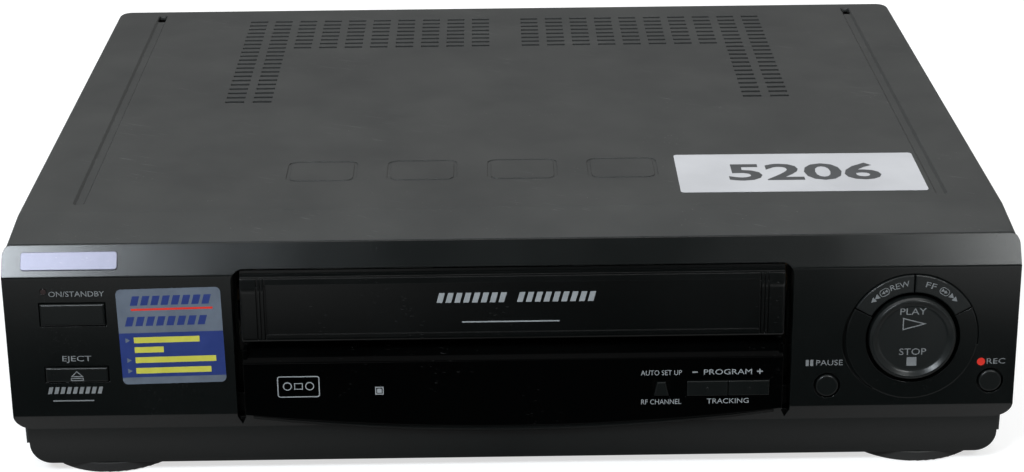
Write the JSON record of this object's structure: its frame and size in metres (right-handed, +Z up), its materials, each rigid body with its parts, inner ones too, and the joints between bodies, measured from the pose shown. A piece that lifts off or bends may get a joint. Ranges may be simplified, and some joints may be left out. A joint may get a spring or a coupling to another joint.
{
  "type": "video cassette recorder",
  "caption": "Low black front-loading video cassette recorder with an inward-swinging cassette flap, gloss window, round play and stop rocker, vented steel cover and round feet.",
  "frame": {"origin": "on the floor under the middle of the recorder's bounding box", "axes": "+X along the front towards the play and stop disc, +Y from the front panel towards the rear, +Z up"},
  "size_m": [0.38, 0.3039, 0.0948],
  "materials": {
    "aerial_modulator": "tinned",
    "audio_sockets": "plain",
    "base_chassis": "zinc plated",
    "board_components": "plain",
    "cam_gear": "plain",
    "capstan": "ground",
    "cassette_flap": "satin moulded",
    "cassette_holder": "zinc plated",
    "clutch": "plain",
    "cover_screws": "blackened",
    "deck_plate": "zinc plated",
    "display_tube": "dark glass",
    "drive_belt": "matt",
    "drum_rotor": "plated",
    "eject_button": "satin",
    "erase_head": "polished",
    "fast_forward_button": "satin",
    "feature_label": "printed foil",
    "feet": "matt",
    "flap_spring": "drawn wire",
    "front_board": "bare laminate",
    "front_panel": "satin moulded",
    "heat_sink": "plain",
    "holder_brackets": "zinc plated",
    "holder_carriage": "zinc plated",
    "idler_arm": "zinc plated",
    "idler_wheel": "matt",
    "loading_motor": "plain",
    "loading_worm": "plain",
    "lower_drum": "turned",
    "main_board": "bare laminate",
    "mains_inlet": "plain",
    "name_badge": "satin",
    "number_label": "matt print",
    "pause_button": "satin",
    "pinch_arm": "zinc plated",
    "pinch_roller": "ground",
    "play_stop_rocker": "satin",
    "power_button": "satin",
    "power_lamp": "clear red",
    "program_down_button": "satin",
    "program_up_button": "satin",
    "push_switches": "plain",
    "rear_panel": "zinc plated",
    "record_button": "satin",
    "remote_sensor": "smoked",
    "rewind_button": "satin",
    "scart_sockets": "plain",
    "setup_button": "satin",
    "sound_head": "polished",
    "supply_board": "bare laminate",
    "supply_guide": "polished",
    "supply_reel_table": "plain",
    "takeup_guide": "polished",
    "takeup_reel_table": "plain",
    "top_cover": "fine-textured paint",
    "transformer": "varnished",
    "upper_drum": "turned",
    "window_panel": "deep gloss"
  },
  "bodies": {
    "recorder": {"front_panel": "front_panel", "window_panel": "window_panel", "power_lamp": "power_lamp", "name_badge": "name_badge", "feature_label": "feature_label", "remote_sensor": "remote_sensor", "display_tube": "display_tube", "front_board": "front_board", "push_switches": "push_switches", "flap_spring": "flap_spring", "top_cover": "top_cover", "number_label": "number_label", "base_chassis": "base_chassis", "feet": "feet", "rear_panel": "rear_panel", "cover_screws": "cover_screws", "main_board": "main_board", "supply_board": "supply_board", "board_components": "board_components", "transformer": "transformer", "heat_sink": "heat_sink", "mains_inlet": "mains_inlet", "scart_sockets": "scart_sockets", "aerial_modulator": "aerial_modulator", "audio_sockets": "audio_sockets", "deck_plate": "deck_plate", "holder_brackets": "holder_brackets", "lower_drum": "lower_drum", "drive_belt": "drive_belt", "erase_head": "erase_head", "sound_head": "sound_head", "loading_motor": "loading_motor"},
    "flap": {"cassette_flap": "cassette_flap"},
    "rocker": {"play_stop_rocker": "play_stop_rocker"},
    "carriage": {"holder_carriage": "holder_carriage"},
    "holder": {"cassette_holder": "cassette_holder"},
    "drum": {"upper_drum": "upper_drum", "drum_rotor": "drum_rotor"},
    "capstan": {"capstan": "capstan"},
    "clutch": {"clutch": "clutch"},
    "idler_arm": {"idler_arm": "idler_arm"},
    "idler_wheel": {"idler_wheel": "idler_wheel"},
    "supply_reel": {"supply_reel_table": "supply_reel_table"},
    "takeup_reel": {"takeup_reel_table": "takeup_reel_table"},
    "pinch_arm": {"pinch_arm": "pinch_arm"},
    "pinch_roller": {"pinch_roller": "pinch_roller"},
    "cam": {"cam_gear": "cam_gear"},
    "worm": {"loading_worm": "loading_worm"},
    "supply_guide": {"supply_guide": "supply_guide"},
    "takeup_guide": {"takeup_guide": "takeup_guide"},
    "power": {"power_button": "power_button"},
    "eject": {"eject_button": "eject_button"},
    "pause": {"pause_button": "pause_button"},
    "record": {"record_button": "record_button"},
    "rewind": {"rewind_button": "rewind_button"},
    "fast_forward": {"fast_forward_button": "fast_forward_button"},
    "setup": {"setup_button": "setup_button"},
    "program_down": {"program_down_button": "program_down_button"},
    "program_up": {"program_up_button": "program_up_button"}
  },
  "joints": [
    {"name": "flap_hinge", "type": "hinge", "parent": "recorder", "child": "flap", "pos_m": [0, -0.13797, 0.086], "axis": [1, 0, 0], "range_deg": [0, 105], "stiffness_Nm_per_rad": 0.012, "springref_deg": -28.65},
    {"name": "power_press", "type": "slide", "parent": "recorder", "child": "power", "axis": [0, 0.9964, -0.0842], "range_m": [0, 0.0008], "stiffness_N_per_m": 300, "springref_m": -0.0005},
    {"name": "eject_press", "type": "slide", "parent": "recorder", "child": "eject", "axis": [0, 0.9964, -0.0842], "range_m": [0, 0.0008], "stiffness_N_per_m": 300, "springref_m": -0.0005},
    {"name": "pause_press", "type": "slide", "parent": "recorder", "child": "pause", "axis": [0, 0.9964, -0.0842], "range_m": [0, 0.0008], "stiffness_N_per_m": 300, "springref_m": -0.0005},
    {"name": "record_press", "type": "slide", "parent": "recorder", "child": "record", "axis": [0, 0.9964, -0.0842], "range_m": [0, 0.0008], "stiffness_N_per_m": 300, "springref_m": -0.0005},
    {"name": "rewind_press", "type": "slide", "parent": "recorder", "child": "rewind", "axis": [0, 0.9964, -0.0842], "range_m": [0, 0.0008], "stiffness_N_per_m": 300, "springref_m": -0.0005},
    {"name": "fast_forward_press", "type": "slide", "parent": "recorder", "child": "fast_forward", "axis": [0, 0.9964, -0.0842], "range_m": [0, 0.0008], "stiffness_N_per_m": 300, "springref_m": -0.0005},
    {"name": "setup_press", "type": "slide", "parent": "recorder", "child": "setup", "axis": [0, 0.9964, -0.0842], "range_m": [0, 0.0008], "stiffness_N_per_m": 300, "springref_m": -0.0005},
    {"name": "program_down_press", "type": "slide", "parent": "recorder", "child": "program_down", "axis": [0, 0.9964, -0.0842], "range_m": [0, 0.0008], "stiffness_N_per_m": 300, "springref_m": -0.0005},
    {"name": "program_up_press", "type": "slide", "parent": "recorder", "child": "program_up", "axis": [0, 0.9964, -0.0842], "range_m": [0, 0.0008], "stiffness_N_per_m": 300, "springref_m": -0.0005},
    {"name": "play_stop_rock", "type": "hinge", "parent": "recorder", "child": "rocker", "pos_m": [0.1502, -0.14019, 0.05307], "axis": [1, 0, 0], "range_deg": [-3, 3], "stiffness_Nm_per_rad": 0.26},
    {"name": "holder_run", "type": "slide", "parent": "recorder", "child": "carriage", "axis": [0, 1, 0], "range_m": [0, 0.064]},
    {"name": "holder_drop", "type": "slide", "parent": "carriage", "child": "holder", "axis": [0, 0, -1], "range_m": [0, 0.02]},
    {"name": "drum_spin", "type": "hinge", "parent": "recorder", "child": "drum", "pos_m": [-0.006, 0.038, 0.034], "axis": [-0.1028, 0, 0.9947], "continuous": true},
    {"name": "capstan_spin", "type": "hinge", "parent": "recorder", "child": "capstan", "pos_m": [0.066, 0.002, 0.018], "axis": [0, 0, 1], "continuous": true},
    {"name": "clutch_spin", "type": "hinge", "parent": "recorder", "child": "clutch", "pos_m": [0, -0.05, 0.02], "axis": [0, 0, 1], "continuous": true},
    {"name": "idler_swing", "type": "hinge", "parent": "recorder", "child": "idler_arm", "pos_m": [0, -0.05, 0.025], "axis": [0, 0, 1], "range_deg": [-43, 43]},
    {"name": "idler_wheel_spin", "type": "hinge", "parent": "idler_arm", "child": "idler_wheel", "pos_m": [0, -0.076, 0.0277], "axis": [0, 0, 1], "continuous": true},
    {"name": "supply_reel_spin", "type": "hinge", "parent": "recorder", "child": "supply_reel", "pos_m": [-0.047, -0.076, 0.03], "axis": [0, 0, 1], "continuous": true},
    {"name": "takeup_reel_spin", "type": "hinge", "parent": "recorder", "child": "takeup_reel", "pos_m": [0.047, -0.076, 0.03], "axis": [0, 0, 1], "continuous": true},
    {"name": "cam_turn", "type": "hinge", "parent": "recorder", "child": "cam", "pos_m": [0.07, 0.062, 0.035], "axis": [0, 0, 1], "range_deg": [0, 270]},
    {"name": "worm_turn", "type": "hinge", "parent": "recorder", "child": "worm", "pos_m": [0.098, 0.062, 0.035], "axis": [0, 1, 0], "range_deg": [0, 5400]},
    {"name": "pinch_swing", "type": "hinge", "parent": "recorder", "child": "pinch_arm", "pos_m": [0.088, 0.008, 0.031], "axis": [0, 0, 1], "range_deg": [0, 55]},
    {"name": "pinch_roller_spin", "type": "hinge", "parent": "pinch_arm", "child": "pinch_roller", "pos_m": [0.07995, 0.02194, 0.045], "axis": [0, 0, 1], "continuous": true},
    {"name": "supply_guide_slide", "type": "slide", "parent": "recorder", "child": "supply_guide", "axis": [-0.3338, 0.9426, 0], "range_m": [0, 0.05093]},
    {"name": "takeup_guide_slide", "type": "slide", "parent": "recorder", "child": "takeup_guide", "axis": [0.2912, 0.9567, 0], "range_m": [0, 0.04809]}
  ],
  "couplings": [
    {"joint": "clutch_spin", "follows": "capstan_spin", "ratio": 0.66667},
    {"joint": "idler_wheel_spin", "follows": "capstan_spin", "ratio": -0.68783},
    {"joint": "pinch_swing", "follows": "cam_turn", "ratio": 0.2037},
    {"joint": "worm_turn", "follows": "cam_turn", "ratio": 20},
    {"joint": "supply_guide_slide", "follows": "cam_turn", "m_per_rad": 0.010806},
    {"joint": "takeup_guide_slide", "follows": "cam_turn", "m_per_rad": 0.010204}
  ]
}
